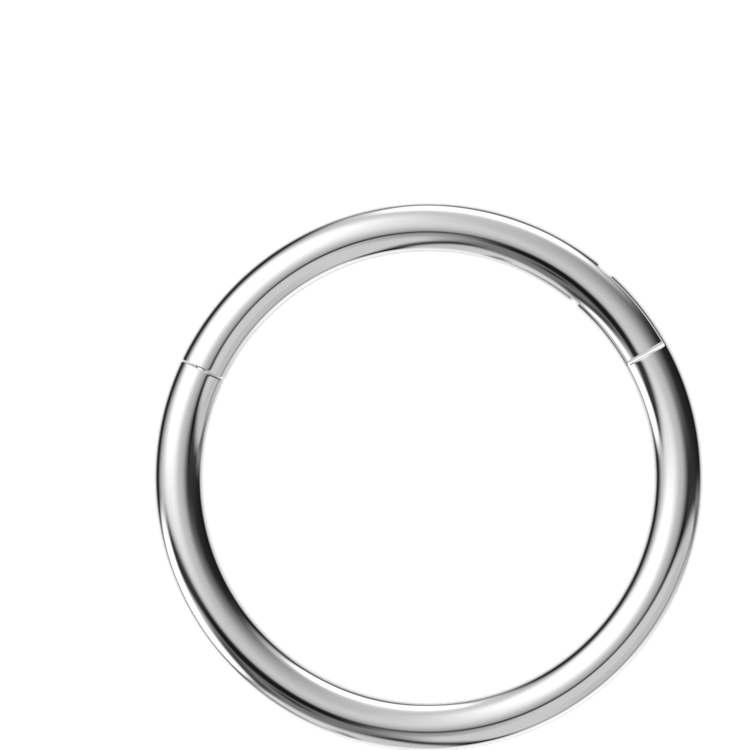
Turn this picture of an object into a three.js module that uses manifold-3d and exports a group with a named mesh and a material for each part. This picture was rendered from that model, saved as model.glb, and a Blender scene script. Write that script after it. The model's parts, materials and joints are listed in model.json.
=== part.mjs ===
// Hinged segment ring for a piercing: a round wire ring whose upper segment swings open.
// Millimetres, +Z up. The closed ring lies on its side: its centre is on the Z axis, its
// underside is at z = 0 and its front faces +Z. Places along the ring are degrees from +X.

import * as THREE from 'three';
import { ConvexGeometry } from 'three/addons/geometries/ConvexGeometry.js';
import * as BufferGeometryUtils from 'three/addons/utils/BufferGeometryUtils.js';
import Module from 'manifold-3d';

// Wire and ring
const wireDiameter = 1.2;
const innerDiameter = 12;

// Seams between the two segments, each a flat cut square to the wire
const hingeSeamAngle = 29.7;
const hingeSeamGap = 0.11;
const claspSeamAngle = 154.6;
const claspSeamGap = 0.075;
const edgeChamfer = 0.04;

// Hinge: a tongue on the lower arc, pinned between two cheeks on the gate. The pin sits a little
// outside the wire's centre line, so that the cheeks' corners clear the shoulder as they turn.
const pivotAngle = 40;
const pivotOffset = 0.1;
const tongueThickness = 0.5;
const tongueReach = 0.94;
const slotWidth = 0.55;
const slotBottomAngle = 51.3;
const pinDiameter = 0.32;
const pinSeatClearance = 0.015;
const pinRunningClearance = 0.025;

// Clasp: a post with a round bead on the gate, and its socket in the lower arc
const postLength = 0.6;
const postSeatDepth = 0.8;
const shankDiameter = 0.4;
const beadDiameter = 0.5;
const postSeatClearance = 0.02;
const socketClearance = 0.03;
const socketFlare = 0.24;

// Roundness of the facets
const sectionSides = 24;
const ringSegments = 96;
const pinSides = 16;
const beadSteps = 5;

const wireRadius = wireDiameter / 2;
const ringRadius = (innerDiameter + wireDiameter) / 2;
const pivotRadius = ringRadius + pivotOffset;
const pinRadius = pinDiameter / 2;
const shankRadius = shankDiameter / 2;
const beadRadius = beadDiameter / 2;

// Facets touch the true circle, so the flats under and over the wire are at its full size.
const facetStretch = 1 / Math.cos(Math.PI / sectionSides);

// Cutting shapes reach this far past the surfaces that they cut.
const overcut = 0.02;

const radians = THREE.MathUtils.degToRad;
const wasm = await Module();
wasm.setup();

function toSolid(geometry) {
  const bare = geometry.clone();
  bare.deleteAttribute('normal');
  bare.deleteAttribute('uv');
  const merged = BufferGeometryUtils.mergeVertices(bare);
  return new wasm.Manifold(new wasm.Mesh({
    numProp: 3,
    vertProperties: new Float32Array(merged.attributes.position.array),
    triVerts: new Uint32Array(merged.index.array),
  }));
}

function toGeometry(solid) {
  const mesh = solid.getMesh();
  const geometry = new THREE.BufferGeometry();
  geometry.setAttribute('position', new THREE.BufferAttribute(mesh.vertProperties, 3));
  geometry.setIndex(new THREE.BufferAttribute(mesh.triVerts, 1));
  return geometry;
}

// Moves a shape made round the local origin onto the ring, at the wire's centre line unless a
// radius is given: its X then points out of the ring, its Y along the wire and its Z up.
function ontoRing(geometry, angle, radius = ringRadius) {
  return geometry.translate(radius, 0, 0).rotateZ(radians(angle));
}

// Point of a flat cut across the wire, slid along the wire by an offset in millimetres.
function cutPoint(angle, radius, offset) {
  const a = radians(angle);
  return new THREE.Vector2(
    radius * Math.cos(a) - offset * Math.sin(a),
    radius * Math.sin(a) + offset * Math.cos(a),
  );
}

// The whole wire ring, round its own middle plane
function wholeRing() {
  const profile = [];
  for (let i = 0; i <= sectionSides; i += 1) {
    const a = (i + 0.5) * 2 * Math.PI / sectionSides;
    const r = wireRadius * facetStretch;
    profile.push(new THREE.Vector2(ringRadius + r * Math.cos(a), r * Math.sin(a)));
  }
  return toSolid(new THREE.LatheGeometry(profile, ringSegments).rotateX(Math.PI / 2));
}

// A slab over one stretch of the ring, from one flat cut to another
function stretchSlab(start, startOffset, end, endOffset, thickness) {
  const inside = ringRadius / 2;
  const outside = ringRadius * 1.5;
  const steps = Math.ceil((end - start) / 30);
  const outline = [];
  const back = [];
  for (let i = 0; i <= steps; i += 1) {
    const along = i / steps;
    const angle = THREE.MathUtils.lerp(start, end, along);
    const offset = i === 0 ? startOffset : (i === steps ? endOffset : 0);
    outline.push(cutPoint(angle, outside, offset));
    back.unshift(cutPoint(angle, inside, offset));
  }
  const shape = new THREE.Shape([...outline, ...back]);
  const slab = new THREE.ExtrudeGeometry(shape, { depth: thickness, bevelEnabled: false });
  return toSolid(slab.translate(0, 0, -thickness / 2));
}

// Ring with a three-cornered section that takes the sharp edge off one end of the wire.
// bodySide is 1 where the wire lies past the cut, and -1 where it lies before it.
function chamferCutter(angle, offset, bodySide) {
  const tip = new THREE.Vector2(wireRadius - edgeChamfer - overcut, offset - bodySide * overcut);
  const rim = new THREE.Vector2(wireRadius + overcut, offset + bodySide * (edgeChamfer + overcut));
  const corner = new THREE.Vector2(rim.x, tip.y);
  const profile = bodySide > 0 ? [tip, corner, rim, tip] : [tip, rim, corner, tip];
  const stretched = profile.map((p) => new THREE.Vector2(p.x * facetStretch, p.y));
  const ring = new THREE.LatheGeometry(stretched, sectionSides).rotateY(Math.PI / sectionSides);
  return toSolid(ontoRing(ring, angle));
}

// Upright cylinder on the hinge's axis
function hingeCylinder(radius) {
  const cylinder = new THREE.CylinderGeometry(radius, radius, wireDiameter * 2, pinSides);
  return toSolid(ontoRing(cylinder.rotateX(Math.PI / 2), pivotAngle, pivotRadius));
}

// Blind seat for the post, drilled into the gate's free end
function postSeat() {
  const r = shankRadius + postSeatClearance;
  const depth = postSeatDepth + postSeatClearance;
  const drill = new THREE.CylinderGeometry(r, r, depth + wireRadius, pinSides);
  drill.translate(0, (wireRadius - depth - claspSeamGap) / 2, 0);
  return toSolid(ontoRing(drill, claspSeamAngle));
}

// Socket for the bead. The post swings out of it on the hinge's arc, which leans away from the
// ring's centre, so the mouth is wider on the outer side.
function beadSocket() {
  const r = beadRadius + socketClearance;
  const face = claspSeamGap / 2;
  const bottom = postLength - face + socketClearance;
  const lean = socketFlare / (bottom - face);
  const points = [];
  const addCircle = (x, y) => {
    for (let i = 0; i < pinSides; i += 1) {
      const a = i * 2 * Math.PI / pinSides;
      points.push(new THREE.Vector3(x + r * Math.cos(a), y, r * Math.sin(a)));
    }
  };
  addCircle(0, bottom);
  addCircle(0, face - overcut);
  addCircle(lean * (bottom - face + overcut), face - overcut);
  return toSolid(ontoRing(new ConvexGeometry(points), claspSeamAngle));
}

// Turned post along its own +Y, with the gate's end face at y = 0
function postGeometry() {
  const beadCentre = postLength - beadRadius;
  const neck = Math.acos(shankRadius / beadRadius);
  const profile = [
    new THREE.Vector2(0, -postSeatDepth),
    new THREE.Vector2(shankRadius, -postSeatDepth),
  ];
  for (let i = 0; i < beadSteps; i += 1) {
    const a = THREE.MathUtils.lerp(-neck, Math.PI / 2, i / beadSteps);
    profile.push(new THREE.Vector2(beadRadius * Math.cos(a), beadCentre + beadRadius * Math.sin(a)));
  }
  profile.push(new THREE.Vector2(0, postLength));
  return new THREE.LatheGeometry(profile, pinSides);
}

// Lower arc: the long fixed segment, with the tongue at one end and the socket at the other
function lowerArcSolid(ring) {
  const start = claspSeamAngle;
  const end = hingeSeamAngle + 360;
  const arc = stretchSlab(start, claspSeamGap / 2, end, -hingeSeamGap / 2, wireDiameter * 2)
    .subtract(chamferCutter(start, claspSeamGap / 2, 1))
    .subtract(chamferCutter(end, -hingeSeamGap / 2, -1));
  const tongue = stretchSlab(hingeSeamAngle, -wireRadius, pivotAngle, tongueReach, tongueThickness);
  return arc.add(tongue)
    .intersect(ring)
    .subtract(hingeCylinder(pinRadius + pinRunningClearance))
    .subtract(beadSocket());
}

// Gate: the short upper segment, forked at the hinge
function gateSolid(ring) {
  const start = hingeSeamAngle;
  const end = claspSeamAngle;
  const slot = stretchSlab(start, -wireRadius, slotBottomAngle, 0, slotWidth);
  return stretchSlab(start, hingeSeamGap / 2, end, -claspSeamGap / 2, wireDiameter * 2)
    .subtract(chamferCutter(start, hingeSeamGap / 2, 1))
    .subtract(chamferCutter(end, -claspSeamGap / 2, -1))
    .subtract(slot)
    .intersect(ring)
    .subtract(hingeCylinder(pinRadius + pinSeatClearance))
    .subtract(postSeat());
}

// Pin through both cheeks, its ends dressed flush with the wire
function pinSolid(ring) {
  return hingeCylinder(pinRadius).intersect(ring);
}

function steelMesh(name, geometry, color, roughness) {
  const material = new THREE.MeshStandardMaterial({ color, roughness, metalness: 1 });
  const shaded = BufferGeometryUtils.toCreasedNormals(geometry, radians(35));
  const mesh = new THREE.Mesh(shaded, material);
  mesh.name = name;
  return mesh;
}

const ring = wholeRing();
const pivot = cutPoint(pivotAngle, pivotRadius, 0);

const lowerArc = steelMesh('lower_arc', toGeometry(lowerArcSolid(ring)), 0xd9dadc, 0.08);

// The gate's group turns about the pin, so a negative rotation.z opens the ring.
const gate = new THREE.Group();
gate.position.set(pivot.x, pivot.y, 0);

const gateGeometry = toGeometry(gateSolid(ring)).translate(-pivot.x, -pivot.y, 0);
gate.add(steelMesh('hinged_gate', gateGeometry, 0xd9dadc, 0.08));

const pinGeometry = toGeometry(pinSolid(ring)).translate(-pivot.x, -pivot.y, 0);
gate.add(steelMesh('hinge_pin', pinGeometry, 0xc6c8cb, 0.2));

const post = steelMesh('clasp_post', postGeometry(), 0xcfd1d4, 0.12);
const postFoot = cutPoint(claspSeamAngle, ringRadius, -claspSeamGap / 2);
post.position.set(postFoot.x - pivot.x, postFoot.y - pivot.y, 0);
post.rotation.z = radians(claspSeamAngle);
gate.add(post);

const group = new THREE.Group();
group.name = 'nose_ring';
group.add(lowerArc, gate);
group.position.z = wireRadius;

export default group;
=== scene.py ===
import json
import math

import bmesh
import bpy
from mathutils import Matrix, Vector


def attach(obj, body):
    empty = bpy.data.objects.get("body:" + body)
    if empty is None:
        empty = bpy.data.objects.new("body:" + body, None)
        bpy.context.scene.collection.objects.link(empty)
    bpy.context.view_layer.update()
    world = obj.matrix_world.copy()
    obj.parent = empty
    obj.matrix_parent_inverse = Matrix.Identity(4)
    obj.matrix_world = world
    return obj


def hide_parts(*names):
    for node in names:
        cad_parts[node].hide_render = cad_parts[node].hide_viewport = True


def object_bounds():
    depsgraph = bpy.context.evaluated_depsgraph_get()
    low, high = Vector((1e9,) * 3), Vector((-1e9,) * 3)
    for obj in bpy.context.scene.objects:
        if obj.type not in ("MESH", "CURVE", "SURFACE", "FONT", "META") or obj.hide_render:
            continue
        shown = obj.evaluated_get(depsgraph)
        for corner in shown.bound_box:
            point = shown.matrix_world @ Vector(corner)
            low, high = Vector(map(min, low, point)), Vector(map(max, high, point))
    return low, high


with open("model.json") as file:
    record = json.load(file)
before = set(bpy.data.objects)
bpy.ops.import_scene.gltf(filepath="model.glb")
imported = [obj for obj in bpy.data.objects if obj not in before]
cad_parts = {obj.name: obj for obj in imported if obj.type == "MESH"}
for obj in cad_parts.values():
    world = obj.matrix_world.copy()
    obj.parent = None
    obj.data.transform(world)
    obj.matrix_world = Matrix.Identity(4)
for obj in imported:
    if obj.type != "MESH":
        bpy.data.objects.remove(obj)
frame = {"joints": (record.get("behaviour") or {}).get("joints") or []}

# Hinged segment ring in polished steel, lying closed on its side.
# Pieces are shaped in millimetres, and brought to metres when they are finished.

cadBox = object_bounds()
mm = 0.001
scene = bpy.context.scene


# sizes that all the pieces share, in millimetres, worked out from the frame
def readRing():
    low, high = cadBox
    wireDiameter = (high.z - low.z) / mm
    outerRadius = (high.x - low.x) / 2 / mm
    hinge = frame["joints"][0]["pos_m"]
    return {
        "wireRadius": wireDiameter / 2,
        "ringRadius": outerRadius - wireDiameter / 2,
        "midHeight": low.z / mm + wireDiameter / 2,
        "pivotRadius": math.hypot(hinge[0], hinge[1]) / mm,
        "pivotAngle": math.degrees(math.atan2(hinge[1], hinge[0])),
    }


ring = readRing()

# the two seams: place in degrees round the ring, gap and edge rounding in millimetres
seams = {
    "hingeAngle": 29.7,
    "hingeGap": 0.11,
    "claspAngle": 154.6,
    "claspGap": 0.035,
    "shoulderRound": 0.035,     # broken edges where the two segments meet at the hinge
    "claspRound": 0.04,         # and at the clasp
    "sharpAngle": 40,           # edges sharper than this are rounded
}

# how finely the wire is drawn
wireDetail = {
    "sides": 132,           # round the wire
    "stepDegrees": 1.0,     # along the ring
    "roundSegments": 4,     # across a rounded edge
    "boreSides": 64,        # round a bore or a seat
    "smoothAngle": 35,      # edges sharper than this stay crisp
}


# small helpers for modelling
def deselectAll():
    if bpy.context.object and bpy.context.object.mode != "OBJECT":
        bpy.ops.object.mode_set(mode="OBJECT")
    bpy.ops.object.select_all(action="DESELECT")


def useOnly(obj):
    deselectAll()
    obj.select_set(True)
    bpy.context.view_layer.objects.active = obj
    return obj


def editMode(obj, selectMode="FACE"):
    useOnly(obj)
    bpy.ops.object.mode_set(mode="EDIT")
    bpy.ops.mesh.select_mode(type=selectMode)
    bpy.ops.mesh.select_all(action="DESELECT")


def objectMode():
    bpy.ops.object.mode_set(mode="OBJECT")


def selectFaces(obj, wanted):
    mesh = bmesh.from_edit_mesh(obj.data)
    bpy.ops.mesh.select_mode(type="FACE")
    for face in mesh.faces:
        face.select_set(bool(wanted(face)))
    mesh.select_flush_mode()
    bmesh.update_edit_mesh(obj.data)


def selectEdges(obj, wanted):
    bpy.ops.mesh.select_mode(type="EDGE")
    bpy.ops.mesh.select_all(action="DESELECT")
    mesh = bmesh.from_edit_mesh(obj.data)
    for edge in mesh.edges:
        if wanted(edge):
            edge.select_set(True)
    bmesh.update_edit_mesh(obj.data)


def recalcNormals():
    bpy.ops.mesh.select_all(action="SELECT")
    bpy.ops.mesh.normals_make_consistent(inside=False)
    bpy.ops.mesh.select_all(action="DESELECT")


def ringAngle(point):
    return math.degrees(math.atan2(point.y, point.x))


def alongWire(length):
    # degrees round the ring that a length in millimetres takes on the wire's centre line
    return math.degrees(length / ring["ringRadius"])


def placeOnRing(obj, angle, radius):
    # local X ends up pointing out of the ring, local Y along the wire and local Z up
    a = math.radians(angle)
    useOnly(obj)
    obj.location = (radius * math.cos(a), radius * math.sin(a), ring["midHeight"])
    obj.rotation_euler = (0, 0, a)
    bpy.ops.object.transform_apply(location=True, rotation=True, scale=True)
    return obj


def standingDisc(name, radius, sides):
    # flat disc round the local Y axis
    deselectAll()
    bpy.ops.mesh.primitive_circle_add(
        vertices=sides, radius=radius, fill_type="NGON", rotation=(math.pi / 2, 0, 0)
    )
    disc = bpy.context.object
    disc.name = name
    bpy.ops.object.transform_apply(location=False, rotation=True, scale=False)
    return disc


def spinRound(degrees, steps):
    # extrudes the selected faces round the ring's axis, counter-clockwise seen from above
    bpy.ops.mesh.spin(steps=steps, angle=-math.radians(degrees), center=(0, 0, 0), axis=(0, 0, 1))


def extrudeTo(dy, scale=1.0, y=0.0):
    # pulls the selected face along local Y and resizes it round the Y axis
    bpy.ops.mesh.extrude_region_move(TRANSFORM_OT_translate={"value": (0, dy, 0)})
    if scale != 1.0:
        bpy.ops.transform.resize(value=(scale, 1, scale), center_override=(0, y, 0))


def flatEnd(face, angle):
    # true for the faces of the flat end at that angle, which alone have many corners
    manyCorners = 8
    nearby = 0.4
    return len(face.verts) > manyCorners and abs(ringAngle(face.calc_center_median()) - angle) < nearby


def splitEnd(obj, angle, thickness):
    # cuts a flat end into three bands, along the wire's own edge rows nearest to that thickness
    r = ring["wireRadius"]
    row = 2 * math.pi / wireDetail["sides"]
    rise = r * math.sin(round(math.asin(thickness / 2 / r) / row) * row)
    for side in (-rise, rise):
        selectFaces(obj, lambda face: flatEnd(face, angle))
        bpy.ops.mesh.bisect(
            plane_co=(0, 0, ring["midHeight"] + side), plane_no=(0, 0, 1), threshold=0.001
        )
    return rise


def roundEdges(obj, amount, wanted, clamp=True, hollow=False):
    # rounds the sharp edges for which wanted(edge) is true: outward ones, or the hollow ones
    limit = math.radians(seams["sharpAngle"])
    selectEdges(
        obj, lambda edge: edge.is_convex != hollow and edge.calc_face_angle(0) > limit and wanted(edge)
    )
    bpy.ops.mesh.bevel(
        offset=amount, segments=wireDetail["roundSegments"], profile=0.5, clamp_overlap=clamp
    )


def carve(obj, cutter):
    useOnly(obj)
    cut = obj.modifiers.new("cut", "BOOLEAN")
    cut.operation = "DIFFERENCE"
    cut.solver = "EXACT"
    cut.object = cutter
    bpy.ops.object.modifier_apply(modifier=cut.name)
    bpy.data.objects.remove(cutter)


def finishPiece(obj, body, node, material, isMilled=None):
    # smooth shading with crisp corners, metres, then the frame's own words for the piece
    obj.data.materials.append(material)
    if isMilled:
        # the second material paints shade on the inner side of these faces
        obj.data.materials.append(milledSteelWithPaintedShade)
        editMode(obj)
        selectFaces(obj, isMilled)
        obj.active_material_index = 1
        bpy.ops.object.material_slot_assign()
        objectMode()
    useOnly(obj)
    bpy.ops.object.shade_smooth_by_angle(angle=math.radians(wireDetail["smoothAngle"]))
    even = obj.modifiers.new("evenNormals", "WEIGHTED_NORMAL")
    even.keep_sharp = True
    bpy.ops.object.modifier_apply(modifier=even.name)
    obj.scale = (mm, mm, mm)
    bpy.ops.object.transform_apply(location=True, rotation=True, scale=True)
    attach(obj, body)
    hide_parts(node)
    obj.visible_glossy = False     # the steel mirrors the studio alone
    print("finished", obj.name, len(obj.data.polygons), "faces")


print("frame read, ring", ring)


# helpers for shader nodes
def addNode(tree, kind, **values):
    # settings by their own names, then inputs by socket name or number
    node = tree.nodes.new(kind)
    for key, value in values.pop("inputs", {}).items():
        node.inputs[key].default_value = value
    for key, value in values.items():
        setattr(node, key, value)
    return node


def newGroup(name, inputs, outputs):
    tree = bpy.data.node_groups.new(name, "ShaderNodeTree")
    for label, kind, value in inputs:
        socket = tree.interface.new_socket(label, in_out="INPUT", socket_type=kind)
        if value is not None:
            socket.default_value = value
    for label, kind in outputs:
        tree.interface.new_socket(label, in_out="OUTPUT", socket_type=kind)
    return tree, tree.nodes.new("NodeGroupInput"), tree.nodes.new("NodeGroupOutput")


def useGroup(tree, group, **values):
    node = tree.nodes.new("ShaderNodeGroup")
    node.node_tree = group
    for key, value in values.items():
        node.inputs[key].default_value = value
    return node


# faint marks left by drawing and polishing: long streaks round the ring, and a soft cloud over them
def makeWireFinish():
    tree, given, out = newGroup(
        "wireFinish",
        [
            ("Seam Angle", "NodeSocketFloat", 0.0),
            ("Ring Radius", "NodeSocketFloat", 0.0066),
            ("Streak Length", "NodeSocketFloat", 0.004),
            ("Streak Width", "NodeSocketFloat", 0.00005),
            ("Cloud Size", "NodeSocketFloat", 0.0015),
        ],
        [("Streaks", "NodeSocketFloat"), ("Cloud", "NodeSocketFloat"), ("Outward", "NodeSocketFloat")],
    )
    link = tree.links.new
    place = addNode(tree, "ShaderNodeTexCoord")
    turn = addNode(tree, "ShaderNodeVectorRotate", rotation_type="Z_AXIS")
    negative = addNode(tree, "ShaderNodeMath", operation="MULTIPLY", inputs={1: -1.0})
    link(given.outputs["Seam Angle"], negative.inputs[0])
    link(place.outputs["Object"], turn.inputs["Vector"])
    link(negative.outputs[0], turn.inputs["Angle"])
    axes = addNode(tree, "ShaderNodeSeparateXYZ")
    link(turn.outputs[0], axes.inputs[0])
    around = addNode(tree, "ShaderNodeMath", operation="ARCTAN2")     # 0 opposite the seam
    back = addNode(tree, "ShaderNodeMath", operation="MULTIPLY", inputs={1: -1.0})
    link(axes.outputs["X"], back.inputs[0])
    link(axes.outputs["Y"], around.inputs[0])
    link(back.outputs[0], around.inputs[1])
    along = addNode(tree, "ShaderNodeMath", operation="MULTIPLY")
    link(around.outputs[0], along.inputs[0])
    link(given.outputs["Ring Radius"], along.inputs[1])
    flat = addNode(tree, "ShaderNodeCombineXYZ")
    link(axes.outputs["X"], flat.inputs["X"])
    link(axes.outputs["Y"], flat.inputs["Y"])
    outward = addNode(tree, "ShaderNodeVectorMath", operation="LENGTH")
    link(flat.outputs[0], outward.inputs[0])
    fromMiddle = addNode(tree, "ShaderNodeMath", operation="SUBTRACT")     # of the wire, outwards
    link(outward.outputs["Value"], fromMiddle.inputs[0])
    link(given.outputs["Ring Radius"], fromMiddle.inputs[1])
    link(fromMiddle.outputs[0], out.inputs["Outward"])
    long = addNode(tree, "ShaderNodeMath", operation="DIVIDE")
    link(along.outputs[0], long.inputs[0])
    link(given.outputs["Streak Length"], long.inputs[1])
    wide = addNode(tree, "ShaderNodeMath", operation="DIVIDE")
    link(outward.outputs["Value"], wide.inputs[0])
    link(given.outputs["Streak Width"], wide.inputs[1])
    high = addNode(tree, "ShaderNodeMath", operation="DIVIDE")
    link(axes.outputs["Z"], high.inputs[0])
    link(given.outputs["Streak Width"], high.inputs[1])
    stretched = addNode(tree, "ShaderNodeCombineXYZ")
    link(long.outputs[0], stretched.inputs["X"])
    link(wide.outputs[0], stretched.inputs["Y"])
    link(high.outputs[0], stretched.inputs["Z"])
    streaks = addNode(tree, "ShaderNodeTexNoise", inputs={"Scale": 1.0, "Detail": 2.0, "Roughness": 0.5})
    link(stretched.outputs[0], streaks.inputs["Vector"])
    link(streaks.outputs["Fac"], out.inputs["Streaks"])
    size = addNode(tree, "ShaderNodeMath", operation="DIVIDE", inputs={0: 1.0})
    link(given.outputs["Cloud Size"], size.inputs[1])
    cloud = addNode(tree, "ShaderNodeTexNoise", inputs={"Detail": 3.0, "Roughness": 0.5})
    link(place.outputs["Object"], cloud.inputs["Vector"])
    link(size.outputs[0], cloud.inputs["Scale"])
    link(cloud.outputs["Fac"], out.inputs["Cloud"])
    return tree


wireFinish = makeWireFinish()


def spread(tree, source, low, high):
    # takes a noise's middle range to the values from low to high
    noiseLow, noiseHigh = 0.3, 0.7
    node = addNode(
        tree,
        "ShaderNodeMapRange",
        inputs={"From Min": noiseLow, "From Max": noiseHigh, "To Min": low, "To Max": high},
    )
    tree.links.new(source, node.inputs["Value"])
    return node.outputs["Result"]


def mixColour(tree, factor, first, second):
    node = addNode(tree, "ShaderNodeMix", data_type="RGBA")
    node.inputs[6].default_value = (*first, 1)
    node.inputs[7].default_value = (*second, 1)
    tree.links.new(factor, node.inputs["Factor"])
    return node.outputs[2]


def makeSteel(name, look):
    material = bpy.data.materials.new(name)
    material.use_nodes = True
    tree = material.node_tree
    shader = tree.nodes["Principled BSDF"]
    shader.inputs["Metallic"].default_value = 1.0
    finish = useGroup(tree, wireFinish, **look["finish"])
    roughness = addNode(tree, "ShaderNodeMath", operation="ADD")
    streaks = spread(tree, finish.outputs["Streaks"], *look["streakRoughness"])
    cloud = spread(tree, finish.outputs["Cloud"], *look["cloudRoughness"])
    tree.links.new(streaks, roughness.inputs[0])
    tree.links.new(cloud, roughness.inputs[1])
    tree.links.new(roughness.outputs[0], shader.inputs["Roughness"])
    paleness = spread(tree, finish.outputs["Cloud"], 0, 1)
    colour = mixColour(tree, paleness, look["colour"], look["paleColour"])
    # painted shade: the colour turns dark towards the inside of the ring, standing in for the shadow in
    # the slot
    if "shade" in look:
        shade = look["shade"]
        lit = addNode(
            tree, "ShaderNodeMapRange", inputs={"From Min": shade["from"], "From Max": shade["to"]}
        )
        tree.links.new(finish.outputs["Outward"], lit.inputs["Value"])
        shaded = addNode(tree, "ShaderNodeMix", data_type="RGBA")
        shaded.inputs[6].default_value = (*shade["colour"], 1)
        tree.links.new(colour, shaded.inputs[7])
        tree.links.new(lit.outputs["Result"], shaded.inputs["Factor"])
        colour = shaded.outputs[2]
    tree.links.new(colour, shader.inputs["Base Color"])
    return material


# how each finish looks; lengths are in metres
sharedFinish = {
    "Seam Angle": math.radians(seams["claspAngle"]),
    "Ring Radius": ring["ringRadius"] * mm,
}
polishedLook = {
    "colour": (0.828, 0.830, 0.833),
    "paleColour": (0.838, 0.840, 0.843),
    "streakRoughness": (0.008, 0.02),
    "cloudRoughness": (0.008, 0.02),
    "finish": {
        **sharedFinish,
        "Streak Length": 0.004,
        "Streak Width": 0.00005,
        "Cloud Size": 0.0015,
    },
}
pinLook = {
    "colour": (0.70, 0.705, 0.715),
    "paleColour": (0.74, 0.745, 0.755),
    "streakRoughness": (0.10, 0.16),
    "cloudRoughness": (0.04, 0.08),
    "finish": {
        **sharedFinish,
        "Streak Length": 0.0002,
        "Streak Width": 0.00003,
        "Cloud Size": 0.0006,
    },
}
# milled faces in the hinge slot, with painted shade on their inner side
milledLookWithPaintedShade = {
    "colour": (0.80, 0.802, 0.806),
    "paleColour": (0.82, 0.822, 0.826),
    "streakRoughness": (0.08, 0.12),
    "cloudRoughness": (0.02, 0.04),
    "shade": {
        "colour": (0.02, 0.02, 0.022),     # painted shade: near black on the inner side, standing in for the shadow in the slot
        "from": -0.00060,                  # outwards from the middle of the wire
        "to": -0.00052,
    },
    "finish": {
        **sharedFinish,
        "Streak Length": 0.0008,
        "Streak Width": 0.00003,
        "Cloud Size": 0.0004,
    },
}
turnedLook = {
    "colour": (0.775, 0.78, 0.79),
    "paleColour": (0.80, 0.805, 0.815),
    "streakRoughness": (0.05, 0.08),
    "cloudRoughness": (0.03, 0.05),
    "finish": {
        **sharedFinish,
        "Streak Length": 0.00003,     # fine marks round the post, square to its length
        "Streak Width": 0.0008,
        "Cloud Size": 0.0005,
    },
}
polishedSteel = makeSteel("polishedSteel", polishedLook)
milledSteelWithPaintedShade = makeSteel("milledSteelWithPaintedShade", milledLookWithPaintedShade)
pinSteel = makeSteel("pinSteel", pinLook)
turnedSteel = makeSteel("turnedSteel", turnedLook)
print("materials made")


# lower arc: the long fixed segment, with the hinge's tongue at one end
lowerArc = {
    "tongueThickness": 0.5,
    "tongueReach": 0.94,      # from the pivot to the tongue's flat end
    "tongueEdgeRound": 0.012,
    "rootFillet": 0.08,       # where the tongue leaves the shoulder
    "boreRadius": 0.185,
    "socketRadius": 0.28,
    "socketDepth": 0.56,
    "socketFlare": 0.24,
}


def makeLowerArc(size):
    shoulder = seams["hingeAngle"] - alongWire(seams["hingeGap"] / 2)
    mouth = seams["claspAngle"] + alongWire(seams["claspGap"] / 2)
    sweep = shoulder + 360 - mouth
    arc = standingDisc("lowerArcWire", ring["wireRadius"], wireDetail["sides"])
    placeOnRing(arc, shoulder, ring["ringRadius"])
    editMode(arc)
    bpy.ops.mesh.select_all(action="SELECT")
    spinRound(-sweep, round(sweep / wireDetail["stepDegrees"]))
    recalcNormals()

    # tongue, pulled out of the middle of the shoulder and cut off square
    pivot = math.radians(ring["pivotAngle"])
    square = Vector((-math.sin(pivot), math.cos(pivot), 0))
    middle = Vector((math.cos(pivot), math.sin(pivot), 0)) * ring["pivotRadius"]
    lastRow = 3      # degrees of the one long row at the end, which the square cut shortens
    slack = 0.2
    nearEnd = ring["pivotAngle"] + alongWire(size["tongueReach"]) - 1.2     # where that row starts
    splitEnd(arc, shoulder, size["tongueThickness"])
    selectFaces(
        arc,
        lambda face: flatEnd(face, shoulder)
        and abs(face.calc_center_median().z - ring["midHeight"]) < size["tongueThickness"] / 4,
    )
    spinRound(nearEnd - shoulder, round((nearEnd - shoulder) / wireDetail["stepDegrees"]))
    spinRound(lastRow, 1)
    selectFaces(
        arc,
        lambda face: nearEnd - slack < ringAngle(face.calc_center_median()) < nearEnd + lastRow + 1,
    )
    bpy.ops.mesh.bisect(
        plane_co=middle + square * size["tongueReach"],
        plane_no=square,
        use_fill=True,
        clear_outer=True,
        threshold=0.0001,
    )
    recalcNormals()

    def bearing(edge):
        return ringAngle((edge.verts[0].co + edge.verts[1].co) / 2)

    def atShoulder(edge):
        return abs(bearing(edge) - shoulder) < 0.05

    def alongTongue(edge):
        # past the fillet at its root
        return shoulder + 0.6 < bearing(edge) < nearEnd + lastRow + 1

    roundEdges(arc, seams["claspRound"], lambda edge: bearing(edge) > 90)
    roundEdges(arc, size["rootFillet"], atShoulder, clamp=False, hollow=True)
    roundEdges(arc, seams["shoulderRound"], atShoulder, clamp=False)
    roundEdges(arc, size["tongueEdgeRound"], alongTongue)
    recalcNormals()
    objectMode()
    return arc


def makeBore(name, radius, length):
    # upright cylinder on the hinge's axis
    deselectAll()
    bpy.ops.mesh.primitive_cylinder_add(vertices=wireDetail["boreSides"], radius=radius, depth=length)
    bore = bpy.context.object
    bore.name = name
    return placeOnRing(bore, ring["pivotAngle"], ring["pivotRadius"])


def makeSocketCutter(size):
    # drawn from its bottom to its mouth; the post swings out on an arc, so the mouth is wider outwards
    face = seams["claspGap"] / 2
    overcut = 0.02
    tiny = 0.0001
    depth = size["socketDepth"] + overcut
    cutter = standingDisc("socketCutter", size["socketRadius"], wireDetail["boreSides"])
    cutter.location = (0, face + size["socketDepth"], 0)
    bpy.ops.object.transform_apply(location=True)
    editMode(cutter)
    bpy.ops.mesh.select_all(action="SELECT")
    bpy.ops.mesh.extrude_region_move(TRANSFORM_OT_translate={"value": (0, -depth, 0)})
    mesh = bmesh.from_edit_mesh(cutter.data)
    bpy.ops.mesh.select_mode(type="VERT")
    for vert in mesh.verts:
        vert.select_set(vert.co.y < face and vert.co.x > -tiny)
    bmesh.update_edit_mesh(cutter.data)
    bpy.ops.transform.translate(value=(size["socketFlare"], 0, 0))
    recalcNormals()
    objectMode()
    return placeOnRing(cutter, seams["claspAngle"], ring["ringRadius"])


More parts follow.
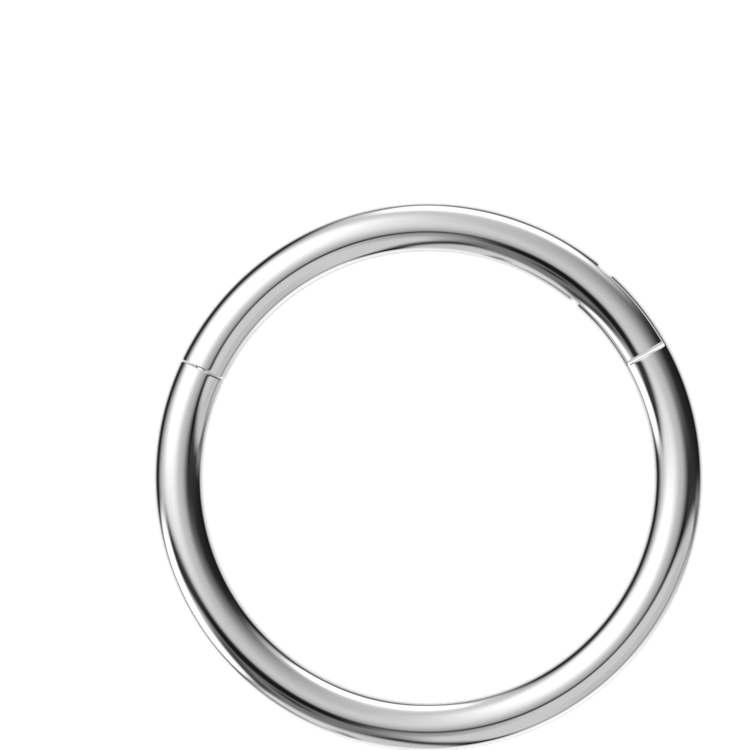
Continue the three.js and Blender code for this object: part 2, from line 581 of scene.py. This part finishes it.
def onTongue(face):
    beyond = 60      # degrees round the ring, well past the tongue's end
    return seams["hingeAngle"] < ringAngle(face.calc_center_median()) < beyond


arcPiece = makeLowerArc(lowerArc)
carve(arcPiece, makeBore("boreCutter", lowerArc["boreRadius"], 2 * lowerArc["tongueThickness"]))
carve(arcPiece, makeSocketCutter(lowerArc))
finishPiece(arcPiece, "ring", "lower_arc", polishedSteel, onTongue)


# gate: the short upper segment, forked at the hinge
gate = {
    "slotWidth": 0.6,
    "slotBottomAngle": 51.3,
    "forkEdgeRound": 0.018,
    "pinSeatRadius": 0.175,
    "pinSeatLength": 0.98,     # blind at both ends
    "postSeatRadius": 0.21,
    "postSeatDepth": 0.82,
}


def makeGate(size):
    cheekEnd = seams["hingeAngle"] + alongWire(seams["hingeGap"] / 2)
    freeEnd = seams["claspAngle"] - alongWire(seams["claspGap"] / 2)
    sweep = freeEnd - size["slotBottomAngle"]
    piece = standingDisc("gateWire", ring["wireRadius"], wireDetail["sides"])
    placeOnRing(piece, freeEnd, ring["ringRadius"])
    editMode(piece)
    bpy.ops.mesh.select_all(action="SELECT")
    spinRound(-sweep, round(sweep / wireDetail["stepDegrees"]))
    recalcNormals()

    # fork: two cheeks pulled on past the bottom of the slot
    rise = splitEnd(piece, size["slotBottomAngle"], size["slotWidth"])
    selectFaces(
        piece,
        lambda face: flatEnd(face, size["slotBottomAngle"])
        and abs(face.calc_center_median().z - ring["midHeight"]) > rise,
    )
    reach = size["slotBottomAngle"] - cheekEnd
    spinRound(-reach, round(reach / wireDetail["stepDegrees"]))
    recalcNormals()

    def onFork(edge):
        return ringAngle((edge.verts[0].co + edge.verts[1].co) / 2) < size["slotBottomAngle"] + 1

    roundEdges(piece, size["forkEdgeRound"], onFork)
    roundEdges(piece, seams["claspRound"], lambda edge: not onFork(edge))
    recalcNormals()
    objectMode()
    return piece


def makePostSeatCutter(size):
    # from the bottom of the seat to a little past the gate's end face
    face = -seams["claspGap"] / 2
    overcut = 0.03
    depth = size["postSeatDepth"] + overcut
    cutter = standingDisc("postSeatCutter", size["postSeatRadius"], wireDetail["boreSides"])
    cutter.location = (0, face - size["postSeatDepth"], 0)
    bpy.ops.object.transform_apply(location=True)
    editMode(cutter)
    bpy.ops.mesh.select_all(action="SELECT")
    bpy.ops.mesh.extrude_region_move(TRANSFORM_OT_translate={"value": (0, depth, 0)})
    recalcNormals()
    objectMode()
    return placeOnRing(cutter, seams["claspAngle"], ring["ringRadius"])


def insideSlot(face):
    # the cheeks' inner faces and the bottom of the slot
    isLevel = 0.99
    spare = 0.02
    centre = face.calc_center_median()
    angle = ringAngle(centre)
    level = abs(face.normal.z) > isLevel and seams["hingeAngle"] < angle < gate["slotBottomAngle"]
    bottom = flatEnd(face, gate["slotBottomAngle"])
    return (level or bottom) and abs(centre.z - ring["midHeight"]) < gate["slotWidth"] / 2 + spare


gatePiece = makeGate(gate)
carve(gatePiece, makeBore("pinSeatCutter", gate["pinSeatRadius"], gate["pinSeatLength"]))
carve(gatePiece, makePostSeatCutter(gate))
finishPiece(gatePiece, "gate", "hinged_gate", polishedSteel, insideSlot)


# hinge pin: pressed through the tongue into both cheeks, its ends dressed flush under the polish
hingePin = {
    "radius": 0.16,
    "length": 0.96,
    "endRound": 0.03,
}


def makeHingePin(size):
    pin = makeBore("hingePinSteel", size["radius"], size["length"])
    nearlySquare = 1.4      # radians between the faces at the rim of an end
    editMode(pin)
    roundEdges(pin, size["endRound"], lambda edge: edge.calc_face_angle(0) > nearlySquare)
    recalcNormals()
    objectMode()
    return pin


pinPiece = makeHingePin(hingePin)
finishPiece(pinPiece, "gate", "hinge_pin", pinSteel)


# clasp post: turned, with a shank, a groove and a round bead; pressed into the gate's free end
claspPost = {
    "shankRadius": 0.2,
    "seatDepth": 0.8,
    "grooveStart": 0.12,
    "grooveSlope": 0.02,      # length over which the shank steps down
    "grooveRadius": 0.165,
    "beadRadius": 0.25,
    "length": 0.6,
    "beadSteps": 16,
    "sides": 64,
}


def makeClaspPost(size):
    # stations along the post: distance from the gate's end face, and radius
    bead = size["beadRadius"]
    centre = size["length"] - bead
    groove = size["grooveStart"]
    neck = math.acos(size["grooveRadius"] / bead)
    stations = [
        (groove, size["shankRadius"]),
        (groove + size["grooveSlope"], size["grooveRadius"]),
    ]
    for step in range(size["beadSteps"]):
        a = -neck + (neck + math.pi / 2) * step / size["beadSteps"]
        stations.append((centre + bead * math.sin(a), bead * math.cos(a)))
    post = standingDisc("claspPostSteel", size["shankRadius"], size["sides"])
    post.location = (0, -size["seatDepth"], 0)
    bpy.ops.object.transform_apply(location=True)
    editMode(post)
    bpy.ops.mesh.select_all(action="SELECT")
    at, radius = -size["seatDepth"], size["shankRadius"]
    for y, r in stations:
        extrudeTo(y - at, r / radius, y)
        at, radius = y, r
    bpy.ops.mesh.extrude_region_move(TRANSFORM_OT_translate={"value": (0, size["length"] - at, 0)})
    bpy.ops.mesh.merge(type="CENTER")
    recalcNormals()
    objectMode()
    post.location = (0, -seams["claspGap"] / 2, 0)
    bpy.ops.object.transform_apply(location=True)
    return placeOnRing(post, seams["claspAngle"], ring["ringRadius"])


postPiece = makeClaspPost(claspPost)
finishPiece(postPiece, "gate", "clasp_post", turnedSteel)


# floor under the ring: it lights the scene but isn't mirrored in the steel
floorPlan = {
    "size": 1.0,
    "drop": 0.00001,
    "colour": (0.9, 0.9, 0.9),
}


def makeFloor(plan):
    deselectAll()
    bpy.ops.mesh.primitive_plane_add(size=plan["size"], location=(0, 0, cadBox[0].z - plan["drop"]))
    floor = bpy.context.object
    floor.name = "paleFloor"
    material = bpy.data.materials.new("palePaper")
    material.use_nodes = True
    shader = material.node_tree.nodes["Principled BSDF"]
    shader.inputs["Base Color"].default_value = (*plan["colour"], 1)
    shader.inputs["Roughness"].default_value = 1.0
    shader.inputs["Specular IOR Level"].default_value = 0.0
    floor.data.materials.append(material)
    floor.visible_glossy = False
    return floor


makeFloor(floorPlan)
print("floor laid")


# studio round the ring, as the steel mirrors it: soft boxes on a dome.
# A box's place is given on the dome seen from straight above: u to the right and v to the top,
# 0 straight up and 1 straight down.
# A band's place is its bearing (0 at the top, 1 at the bottom) and its distance.
# Each line: kind, name, centre, half size, corner, turn in degrees, softness, light and cover.
# Later boxes lie over earlier ones.
studio = {
    "whiteRoom": 0.3,     # light on the floor and other dull things
    "baseLight": 0.63,    # light that the steel mirrors where no box is
    "boxes": [
        ("box", "darkRight", (0.588, 0.155), (0.36, 0.30), 0.25, -16, 0.22, 0.022, 1.00),
        ("box", "rightHorizon", (0.425, 0.00), (0.20, 0.075), 0.06, 2, 0.11, 0.022, 1.00),
        ("band", "wall", (-0.055, 0.72), (0.575, 0.125), 0.12, 0, 0.11, 0.012, 1.00),
        ("box", "fill", (-0.06, 0.49), (0.23, 0.11), 0.11, 0, 0.12, 0.66, 1.00),
        ("band", "topGap", (0.00, 0.84), (0.07, 0.10), 0.07, 0, 0.09, 0.15, 1.00),
        ("band", "rim", (0.00, 1.03), (1.30, 0.13), 0.00, 0, 0.07, 0.68, 1.00),
        ("band", "rimRight", (0.42, 0.91), (0.16, 0.10), 0.10, 0, 0.07, 0.68, 1.00),
        ("box", "rightSill", (0.67, -0.065), (0.10, 0.02), 0.02, 0, 0.06, 0.32, 1.00),
        ("box", "horizonShade", (0.08, -0.115), (0.24, 0.02), 0.02, 18, 0.13, 0.00, 0.90),
        ("box", "horizon", (0.10, -0.112), (0.21, 0.024), 0.024, 18, 0.03, 0.00, 1.00),
        ("box", "floorRight", (0.35, -0.365), (0.355, 0.285), 0.22, 9, 0.025, 0.70, 1.00),
        ("box", "rightShade", (0.42, -0.045), (0.12, 0.03), 0.03, 3, 0.06, 0.04, 0.85),
        ("box", "underShade", (-0.03, -0.225), (0.09, 0.05), 0.05, 15, 0.06, 0.34, 0.85),
        ("band", "floorFar", (0.705, 0.535), (0.125, 0.13), 0.04, 0, 0.04, 0.60, 1.00),
        ("band", "floorEdge", (0.76, 0.655), (0.19, 0.02), 0.02, 0, 0.055, 0.06, 0.85),
        ("band", "rimGlow", (0.82, 0.85), (0.13, 0.14), 0.13, 0, 0.08, 1.15, 1.00),
        ("box", "bottomGlow", (-0.01, -0.90), (0.37, 0.13), 0.13, 0, 0.12, 1.10, 1.00),
        ("box", "floorLeft", (-0.33, -0.60), (0.17, 0.11), 0.11, 0, 0.12, 0.82, 1.00),
        ("box", "patch", (-0.205, -0.34), (0.18, 0.14), 0.14, 0, 0.05, 0.21, 1.00),
        ("box", "slab", (-0.26, -0.15), (0.20, 0.06), 0.03, -8, 0.04, 0.012, 1.00),
        ("box", "slabEnd", (-0.15, -0.19), (0.11, 0.05), 0.05, -5, 0.04, 0.010, 1.00),
        ("box", "post", (-0.32, -0.34), (0.03, 0.11), 0.03, -15, 0.05, 0.04, 1.00),
        ("box", "dot", (-0.18, -0.30), (0.03, 0.03), 0.03, 0, 0.04, 0.00, 1.00),
        ("box", "leg", (0.03, -0.53), (0.17, 0.038), 0.03, -52, 0.045, 0.00, 1.00),
        ("box", "foot", (0.14, -0.645), (0.07, 0.035), 0.035, 0, 0.05, 0.00, 1.00),
        ("box", "smudge", (-0.21, -0.68), (0.02, 0.07), 0.02, 0, 0.04, 0.15, 1.00),
        ("box", "streak", (-0.45, -0.515), (0.23, 0.02), 0.02, 41, 0.045, 0.06, 1.00),
        ("band", "lowLeft", (-0.76, 0.80), (0.11, 0.06), 0.06, 0, 0.08, 0.20, 1.00),
        ("box", "sideShade", (-0.61, -0.51), (0.06, 0.10), 0.06, 30, 0.08, 0.15, 1.00),
        ("box", "keyBox", (-0.235, 0.195), (0.20, 0.225), 0.16, 0, 0.11, 1.35, 1.00),
        ("box", "topGlow", (-0.09, 0.66), (0.14, 0.07), 0.07, 0, 0.13, 0.90, 1.00),
        ("box", "underGlow", (0.17, 0.53), (0.25, 0.08), 0.08, -21, 0.12, 0.95, 1.00),
        ("box", "topBox", (0.13, 0.60), (0.255, 0.11), 0.10, -21, 0.055, 1.50, 1.00),
        ("box", "sideBox", (-0.552, -0.30), (0.135, 0.22), 0.13, 22, 0.05, 1.50, 1.00),
    ],
}


def makeSoftBox():
    # a box with soft edges laid over the light that is under it
    tree, given, out = newGroup(
        "softBox",
        [
            ("Under", "NodeSocketFloat", 0.0),
            ("Place", "NodeSocketVector", None),
            ("Centre", "NodeSocketVector", None),
            ("Half Size", "NodeSocketVector", None),
            ("Corner", "NodeSocketFloat", 0.05),
            ("Turn", "NodeSocketFloat", 0.0),
            ("Softness", "NodeSocketFloat", 0.05),
            ("Light", "NodeSocketFloat", 1.0),
            ("Cover", "NodeSocketFloat", 1.0),
        ],
        [("Light", "NodeSocketFloat")],
    )
    link = tree.links.new
    offset = addNode(tree, "ShaderNodeVectorMath", operation="SUBTRACT")
    link(given.outputs["Place"], offset.inputs[0])
    link(given.outputs["Centre"], offset.inputs[1])
    back = addNode(tree, "ShaderNodeMath", operation="MULTIPLY", inputs={1: -1.0})
    link(given.outputs["Turn"], back.inputs[0])
    turned = addNode(tree, "ShaderNodeVectorRotate", rotation_type="Z_AXIS")
    link(offset.outputs[0], turned.inputs["Vector"])
    link(back.outputs[0], turned.inputs["Angle"])
    oneSide = addNode(tree, "ShaderNodeVectorMath", operation="ABSOLUTE")
    link(turned.outputs[0], oneSide.inputs[0])
    corner = addNode(tree, "ShaderNodeCombineXYZ")
    link(given.outputs["Corner"], corner.inputs["X"])
    link(given.outputs["Corner"], corner.inputs["Y"])
    core = addNode(tree, "ShaderNodeVectorMath", operation="SUBTRACT")
    link(given.outputs["Half Size"], core.inputs[0])
    link(corner.outputs[0], core.inputs[1])
    past = addNode(tree, "ShaderNodeVectorMath", operation="SUBTRACT")
    link(oneSide.outputs[0], past.inputs[0])
    link(core.outputs[0], past.inputs[1])
    outside = addNode(tree, "ShaderNodeVectorMath", operation="MAXIMUM", inputs={1: (0, 0, 0)})
    link(past.outputs[0], outside.inputs[0])
    distance = addNode(tree, "ShaderNodeVectorMath", operation="LENGTH")
    link(outside.outputs[0], distance.inputs[0])
    edge = addNode(tree, "ShaderNodeMath", operation="SUBTRACT")
    link(distance.outputs["Value"], edge.inputs[0])
    link(given.outputs["Corner"], edge.inputs[1])
    inner = addNode(tree, "ShaderNodeMath", operation="MULTIPLY", inputs={1: -1.0})
    link(given.outputs["Softness"], inner.inputs[0])
    mask = addNode(
        tree,
        "ShaderNodeMapRange",
        interpolation_type="SMOOTHSTEP",
        inputs={"To Min": 1.0, "To Max": 0.0},
    )
    link(edge.outputs[0], mask.inputs["Value"])
    link(inner.outputs[0], mask.inputs["From Min"])
    link(given.outputs["Softness"], mask.inputs["From Max"])
    covered = addNode(tree, "ShaderNodeMath", operation="MULTIPLY")
    link(mask.outputs["Result"], covered.inputs[0])
    link(given.outputs["Cover"], covered.inputs[1])
    mix = addNode(tree, "ShaderNodeMix", data_type="FLOAT")
    link(covered.outputs[0], mix.inputs["Factor"])
    link(given.outputs["Under"], mix.inputs[2])
    link(given.outputs["Light"], mix.inputs[3])
    link(mix.outputs[0], out.inputs["Light"])
    return tree


def makeStudio(plan):
    world = bpy.data.worlds.new("softStudio")
    scene.world = world
    world.use_nodes = True
    tree = world.node_tree
    tree.nodes.clear()
    link = tree.links.new
    direction = addNode(tree, "ShaderNodeTexCoord")
    axes = addNode(tree, "ShaderNodeSeparateXYZ")
    link(direction.outputs["Generated"], axes.inputs[0])
    down = addNode(tree, "ShaderNodeMath", operation="ARCCOSINE", use_clamp=False)
    link(axes.outputs["Z"], down.inputs[0])
    distance = addNode(tree, "ShaderNodeMath", operation="DIVIDE", inputs={1: math.pi})
    link(down.outputs[0], distance.inputs[0])
    level = addNode(tree, "ShaderNodeVectorMath", operation="MULTIPLY", inputs={1: (1, 1, 0)})
    link(direction.outputs["Generated"], level.inputs[0])
    heading = addNode(tree, "ShaderNodeVectorMath", operation="NORMALIZE")
    link(level.outputs[0], heading.inputs[0])
    dome = addNode(tree, "ShaderNodeVectorMath", operation="SCALE")
    link(heading.outputs[0], dome.inputs[0])
    link(distance.outputs[0], dome.inputs["Scale"])
    bearing = addNode(tree, "ShaderNodeMath", operation="ARCTAN2")
    link(axes.outputs["X"], bearing.inputs[0])
    link(axes.outputs["Y"], bearing.inputs[1])
    halfTurns = addNode(tree, "ShaderNodeMath", operation="DIVIDE", inputs={1: math.pi})
    link(bearing.outputs[0], halfTurns.inputs[0])
    band = addNode(tree, "ShaderNodeCombineXYZ")
    link(halfTurns.outputs[0], band.inputs["X"])
    link(distance.outputs[0], band.inputs["Y"])
    places = {"box": dome.outputs[0], "band": band.outputs[0]}
    softBox = makeSoftBox()
    light = None
    for kind, name, centre, half, corner, turn, softness, strength, cover in plan["boxes"]:
        node = useGroup(
            tree,
            softBox,
            Under=plan["baseLight"],
            Centre=(*centre, 0),
            Corner=corner,
            Turn=math.radians(turn),
            Softness=softness,
            Light=strength,
            Cover=cover,
        )
        node.inputs["Half Size"].default_value = (*half, 0)
        node.label = name
        link(places[kind], node.inputs["Place"])
        if light:
            link(light, node.inputs["Under"])
        light = node.outputs[0]
    mirrored = addNode(tree, "ShaderNodeBackground")
    link(light, mirrored.inputs["Color"])
    room = addNode(
        tree, "ShaderNodeBackground", inputs={"Color": (1, 1, 1, 1), "Strength": plan["whiteRoom"]}
    )
    ray = addNode(tree, "ShaderNodeLightPath")
    either = addNode(tree, "ShaderNodeMixShader")
    link(ray.outputs["Is Glossy Ray"], either.inputs[0])
    link(room.outputs[0], either.inputs[1])
    link(mirrored.outputs[0], either.inputs[2])
    out = addNode(tree, "ShaderNodeOutputWorld")
    link(either.outputs[0], out.inputs["Surface"])
    world.cycles.sampling_method = "NONE"
    print("studio made with", len(plan["boxes"]), "boxes")


makeStudio(studio)


# soft lamp straight above: it lights the floor, and its shadow falls right under the ring
topLamp = {
    "strength": 2.7,
    "angle": 14,
    "height": 0.3,
}


def makeTopLamp(plan):
    lamp = bpy.data.lights.new("topLamp", "SUN")
    lamp.energy = plan["strength"]
    lamp.angle = math.radians(plan["angle"])
    holder = bpy.data.objects.new("topLamp", lamp)
    holder.location = (0, 0, plan["height"])
    holder.visible_glossy = False
    scene.collection.objects.link(holder)


makeTopLamp(topLamp)
print("lamp hung")


# camera straight above the ring, from far away through a long lens
cameraPlan = {
    "lens": 1000.0,
    "sensor": 36.0,
    "height": 0.5497,               # above the middle of the wire
    "aim": (-0.00141, 0.002697),    # the ring stands low and to the right in the picture
    "clip": (0.001, 3.0),
}


def makeCamera(plan):
    camera = bpy.data.cameras.new("camera")
    camera.lens = plan["lens"]
    camera.sensor_width = plan["sensor"]
    camera.clip_start, camera.clip_end = plan["clip"]
    holder = bpy.data.objects.new("camera", camera)
    holder.location = (*plan["aim"], ring["midHeight"] * mm + plan["height"])
    scene.collection.objects.link(holder)
    scene.camera = holder
    scene.view_settings.view_transform = "Standard"


makeCamera(cameraPlan)
print("camera set")
